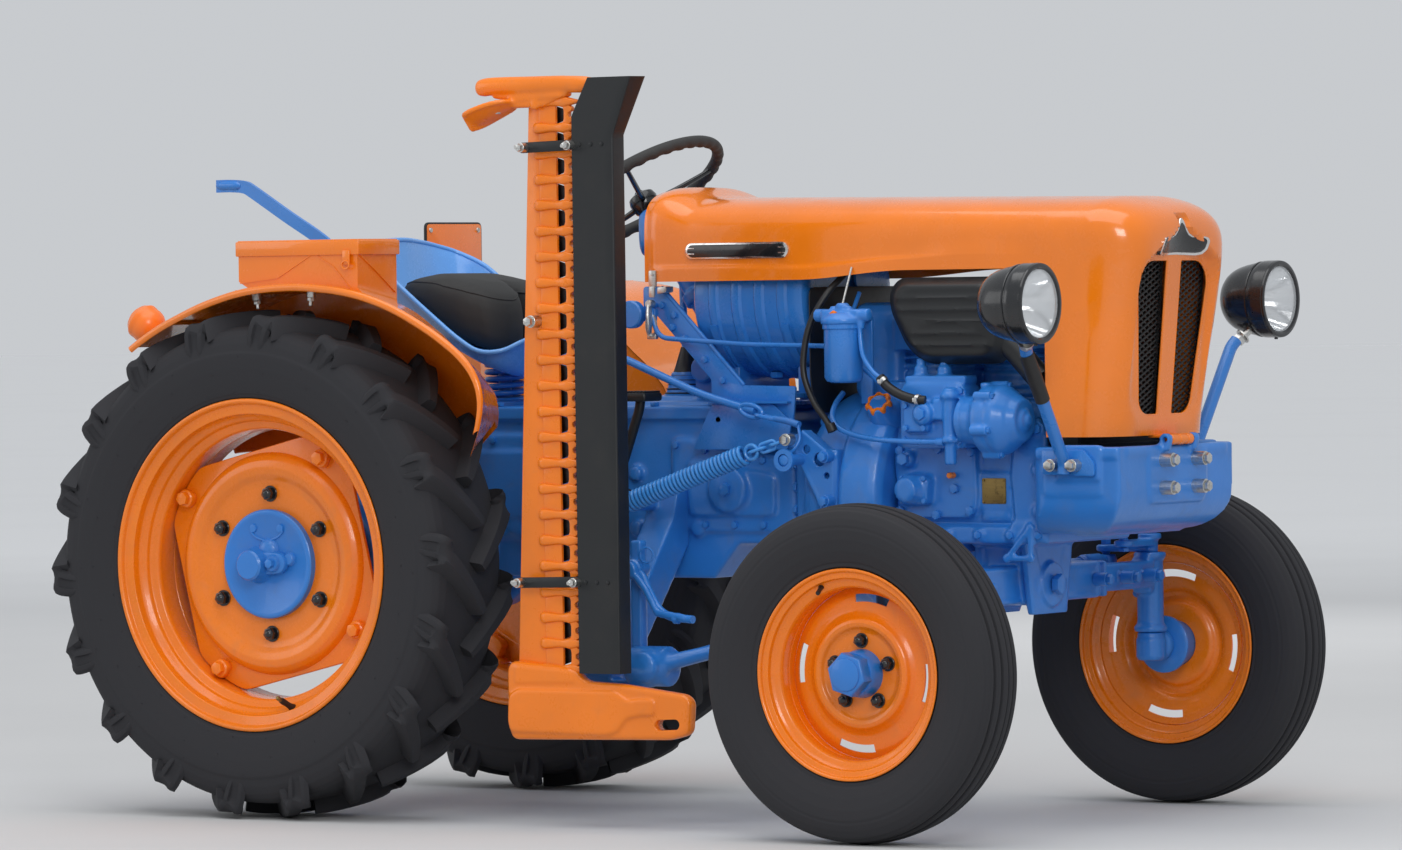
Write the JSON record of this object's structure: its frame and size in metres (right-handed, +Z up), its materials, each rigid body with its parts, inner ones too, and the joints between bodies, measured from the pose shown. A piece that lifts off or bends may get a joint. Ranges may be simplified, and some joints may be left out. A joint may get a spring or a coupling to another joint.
{
  "type": "small farm tractor",
  "caption": "Small vintage farm tractor with open driver's seat, tilting hood, steered front wheels, lug tyres behind and a side sickle-bar mower folded upright",
  "frame": {"origin": "middle of the bounding box in X and Y, on the ground under the wheels", "axes": "X forward, Y to the driver's left, Z up"},
  "size_m": [2.382, 1.337, 1.4823],
  "materials": {
    "blue_paint": "gloss blue enamel, worn and dusty in the corners",
    "orange_paint": "gloss orange enamel with fine orange peel",
    "black_paint": "satin black paint",
    "lamp_orange": "moulded orange lens",
    "lens_glass": "clear fluted glass",
    "seat_cover": "black seat cover with a fine grain",
    "wheel_grip": "black hard rubber, slightly worn",
    "knife_steel": "bare steel with traces of grinding",
    "zinc_steel": "zinc-plated bolts",
    "hose_rubber": "black rubber hose",
    "brass_plate": "bare aged brass plate",
    "chrome_trim": "chrome badge rims",
    "mirror_reflector": "lamp reflectors",
    "tyre_rubber": "matt tyre rubber"
  },
  "bodies": {
    "chassis": {"engine_block": "blue_paint", "injection_pump": "blue_paint", "fuel_filter": "blue_paint", "muffler": "black_paint", "radiator": "black_paint", "fuel_tank": "blue_paint", "bell_housing": "blue_paint", "gearbox": "blue_paint", "rear_axle": "blue_paint", "drawbar": "blue_paint", "front_support": "blue_paint", "front_axle": "blue_paint", "steering_column": "blue_paint", "cowl_bracket": "blue_paint", "control_rods": "blue_paint", "seat_pan": "blue_paint", "seat_spring": "blue_paint", "seat_cushion": "seat_cover", "fender_right": "orange_paint", "fender_left": "orange_paint", "toolbox": "orange_paint", "tail_lamps": "lamp_orange", "rear_plate": "orange_paint", "hand_levers": "blue_paint", "pedals": "black_paint", "lamp_posts": "blue_paint", "headlamps": "black_paint", "headlamp_lenses": "lens_glass", "mower_arm": "blue_paint", "mower_drive": "blue_paint", "lift_spring": "blue_paint"},
    "hood": {"hood": "orange_paint", "grille": "black_paint"},
    "steering_wheel": {"steering_wheel": "wheel_grip"},
    "drop_arm": {"drop_arm": "blue_paint"},
    "drag_link": {"drag_link": "blue_paint"},
    "knuckle_right": {"knuckle_right": "blue_paint"},
    "knuckle_left": {"knuckle_left": "blue_paint"},
    "tie_rod": {"tie_rod": "blue_paint"},
    "rear_right": {"rear_tyre_right": "tyre_rubber", "rear_wheel_right": "orange_paint"},
    "rear_left": {"rear_tyre_left": "tyre_rubber", "rear_wheel_left": "orange_paint"},
    "front_right": {"front_tyre_right": "tyre_rubber", "front_wheel_right": "orange_paint"},
    "front_left": {"front_tyre_left": "tyre_rubber", "front_wheel_left": "orange_paint"},
    "cutter_bar": {"finger_bar": "orange_paint", "knife": "knife_steel", "knife_guard": "black_paint", "inner_shoe": "orange_paint", "outer_shoe": "orange_paint"}
  },
  "joints": [
    {"name": "knuckle_right_steer", "type": "hinge", "parent": "chassis", "child": "knuckle_right", "pos_m": [0.812, -0.4915, 0.325], "axis": [0, 0, 1], "range_deg": [-30, 30]},
    {"name": "knuckle_left_steer", "type": "hinge", "parent": "chassis", "child": "knuckle_left", "pos_m": [0.812, 0.4915, 0.325], "axis": [0, 0, 1], "range_deg": [-30, 30]},
    {"name": "front_right_spin", "type": "hinge", "parent": "knuckle_right", "child": "front_right", "pos_m": [0.812, -0.5985, 0.325], "axis": [0, 1, 0], "continuous": true},
    {"name": "front_left_spin", "type": "hinge", "parent": "knuckle_left", "child": "front_left", "pos_m": [0.812, 0.5985, 0.325], "axis": [0, 1, 0], "continuous": true},
    {"name": "tie_rod_ball", "type": "hinge", "parent": "knuckle_right", "child": "tie_rod", "pos_m": [0.709, -0.4915, 0.4953], "axis": [0, 0, 1], "range_deg": [-31, 31]},
    {"name": "steering_wheel_turn", "type": "hinge", "parent": "chassis", "child": "steering_wheel", "pos_m": [-0.096, 0, 1.26], "axis": [-0.5534, 0, 0.8329], "range_deg": [-455, 455]},
    {"name": "drop_arm_swing", "type": "hinge", "parent": "chassis", "child": "drop_arm", "pos_m": [0.104, 0.18, 0.89897], "axis": [0, 1, 0], "range_deg": [-19.5, 19.5]},
    {"name": "drag_link_pin", "type": "hinge", "parent": "drop_arm", "child": "drag_link", "pos_m": [0.104, 0.21, 0.73897], "axis": [0, 1, 0], "range_deg": [-19.5, 19.5]},
    {"name": "rear_right_spin", "type": "hinge", "parent": "chassis", "child": "rear_right", "pos_m": [-0.675, -0.465, 0.516], "axis": [0, 1, 0], "continuous": true},
    {"name": "rear_left_spin", "type": "hinge", "parent": "chassis", "child": "rear_left", "pos_m": [-0.675, 0.465, 0.516], "axis": [0, 1, 0], "continuous": true},
    {"name": "hood_tilt", "type": "hinge", "parent": "chassis", "child": "hood", "pos_m": [1.171, 0, 0.757], "axis": [0, 1, 0], "range_deg": [0, 70]},
    {"name": "cutter_bar_fold", "type": "hinge", "parent": "chassis", "child": "cutter_bar", "pos_m": [0.075, -0.478, 0.247], "axis": [1, 0, 0], "range_deg": [0, 90]}
  ],
  "couplings": [
    {"joint": "knuckle_left_steer", "follows": "knuckle_right_steer", "ratio": 1},
    {"joint": "tie_rod_ball", "follows": "knuckle_right_steer", "ratio": -1},
    {"joint": "steering_wheel_turn", "follows": "knuckle_right_steer", "ratio": 15},
    {"joint": "drop_arm_swing", "follows": "knuckle_right_steer", "ratio": -0.63},
    {"joint": "drag_link_pin", "follows": "knuckle_right_steer", "ratio": 0.63}
  ]
}
